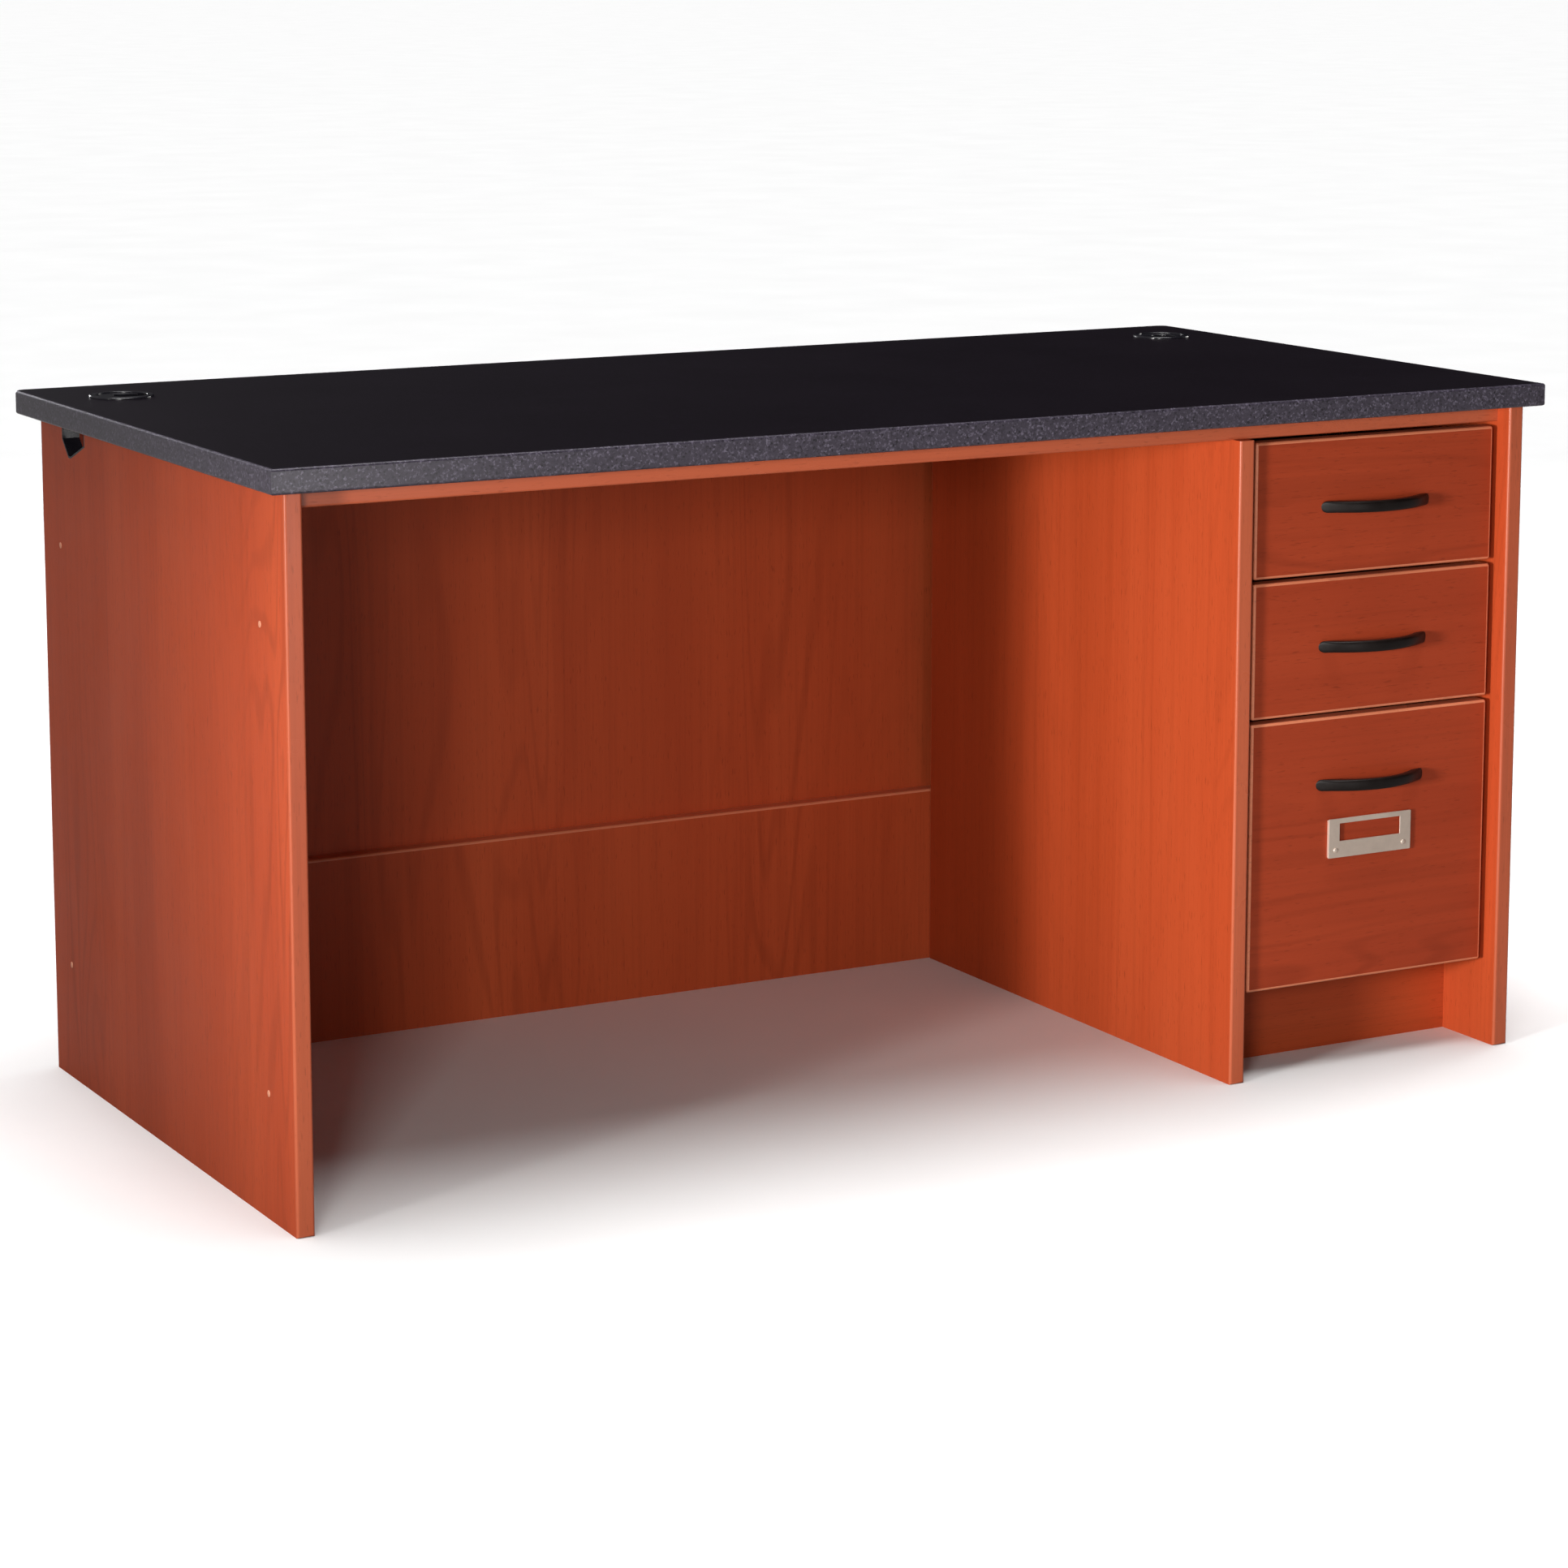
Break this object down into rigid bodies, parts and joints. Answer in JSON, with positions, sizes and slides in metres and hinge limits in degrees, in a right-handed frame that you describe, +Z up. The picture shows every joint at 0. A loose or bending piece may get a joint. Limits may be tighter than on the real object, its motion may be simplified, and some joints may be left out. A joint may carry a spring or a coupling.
{
  "type": "teacher desk",
  "caption": "Single-pedestal teacher desk with a graphite worktop, cherry laminate panels, drawers on the right, cable grommets and a full-width modesty panel.",
  "frame": {"origin": "on the floor, under the centre of the worktop's outline", "axes": "+X to the seated user's right, towards the drawer pedestal; the user's side faces -Y; +Z up"},
  "size_m": [1.524, 0.762, 0.7644],
  "materials": {
    "worktop_laminate": "fine-textured high-pressure laminate, graphite",
    "worktop_edge_band": "speckled graphite PVC edge band, satin",
    "cherry_laminate": "cherry woodgrain laminate on particleboard, satin",
    "cherry_edge_band": "cherry woodgrain PVC edge band, satin",
    "black_plastic": "moulded black plastic, semi-gloss",
    "cherry_plug": "moulded plastic hole cap, satin",
    "black_pull": "satin black powder coat",
    "label_nickel": "nickel plated, brushed",
    "slide_steel": "zinc plated steel",
    "screw_steel": "zinc plated steel",
    "drawer_board": "laminated drawer board, satin",
    "drawer_base_board": "thin hardboard, smooth"
  },
  "bodies": {
    "desk": {"cable_port_liner": "black_plastic", "cam_bolts": "screw_steel", "cam_locks": "screw_steel", "end_panel_plugs": "cherry_plug", "file_slide_outer": "slide_steel", "front_rail": "cherry_laminate", "front_rail_band": "cherry_edge_band", "grommet_sleeve_left": "black_plastic", "grommet_sleeve_right": "black_plastic", "kick_panel": "cherry_laminate", "left_end_bands": "cherry_edge_band", "left_end_panel": "cherry_laminate", "lower_modesty_band": "cherry_edge_band", "lower_modesty_panel": "cherry_laminate", "middle_slide_outer": "slide_steel", "pedestal_bottom_panel": "cherry_laminate", "pedestal_inner_bands": "cherry_edge_band", "pedestal_inner_panel": "cherry_laminate", "right_end_bands": "cherry_edge_band", "right_end_panel": "cherry_laminate", "slide_screws": "screw_steel", "top_bracket_screws": "screw_steel", "top_brackets": "slide_steel", "top_slide_outer": "slide_steel", "upper_modesty_panel": "cherry_laminate", "worktop_band_front": "worktop_edge_band", "worktop_band_wrap": "worktop_edge_band", "worktop_panel": "worktop_laminate"},
    "top_drawer": {"top_drawer_front": "cherry_laminate", "top_drawer_front_band": "cherry_edge_band", "top_drawer_sides": "drawer_board", "top_drawer_back": "drawer_board", "top_drawer_bottom": "drawer_base_board", "top_drawer_pull": "black_pull", "top_pull_screws": "screw_steel", "top_slide_inner": "slide_steel"},
    "top_slide_middles": {"top_slide_middle": "slide_steel"},
    "middle_drawer": {"middle_drawer_front": "cherry_laminate", "middle_drawer_front_band": "cherry_edge_band", "middle_drawer_sides": "drawer_board", "middle_drawer_back": "drawer_board", "middle_drawer_bottom": "drawer_base_board", "middle_drawer_pull": "black_pull", "middle_pull_screws": "screw_steel", "middle_slide_inner": "slide_steel"},
    "middle_slide_middles": {"middle_slide_middle": "slide_steel"},
    "file_drawer": {"file_drawer_front": "cherry_laminate", "file_drawer_front_band": "cherry_edge_band", "file_drawer_sides": "drawer_board", "file_drawer_back": "drawer_board", "file_drawer_bottom": "drawer_base_board", "file_drawer_pull": "black_pull", "file_pull_screws": "screw_steel", "file_slide_inner": "slide_steel", "label_holder": "label_nickel", "label_holder_pins": "label_nickel", "hanging_file_rails": "slide_steel"},
    "file_slide_middles": {"file_slide_middle": "slide_steel"},
    "cap_left": {"grommet_cap_left": "black_plastic"},
    "cap_right": {"grommet_cap_right": "black_plastic"}
  },
  "joints": [
    {"name": "top_drawer_slide", "type": "slide", "parent": "desk", "child": "top_drawer", "axis": [0, -1, 0], "range_m": [0, 0.45]},
    {"name": "middle_drawer_slide", "type": "slide", "parent": "desk", "child": "middle_drawer", "axis": [0, -1, 0], "range_m": [0, 0.45]},
    {"name": "file_drawer_slide", "type": "slide", "parent": "desk", "child": "file_drawer", "axis": [0, -1, 0], "range_m": [0, 0.45]},
    {"name": "top_middle_slide", "type": "slide", "parent": "desk", "child": "top_slide_middles", "axis": [0, -1, 0], "range_m": [0, 0.225]},
    {"name": "middle_middle_slide", "type": "slide", "parent": "desk", "child": "middle_slide_middles", "axis": [0, -1, 0], "range_m": [0, 0.225]},
    {"name": "file_middle_slide", "type": "slide", "parent": "desk", "child": "file_slide_middles", "axis": [0, -1, 0], "range_m": [0, 0.225]},
    {"name": "cap_left_turn", "type": "hinge", "parent": "desk", "child": "cap_left", "pos_m": [-0.678, 0.262, 0.7622], "axis": [0, 0, 1], "continuous": true},
    {"name": "cap_right_turn", "type": "hinge", "parent": "desk", "child": "cap_right", "pos_m": [0.678, 0.262, 0.7622], "axis": [0, 0, 1], "continuous": true}
  ],
  "couplings": [
    {"joint": "top_middle_slide", "follows": "top_drawer_slide", "ratio": 0.5},
    {"joint": "middle_middle_slide", "follows": "middle_drawer_slide", "ratio": 0.5},
    {"joint": "file_middle_slide", "follows": "file_drawer_slide", "ratio": 0.5}
  ]
}
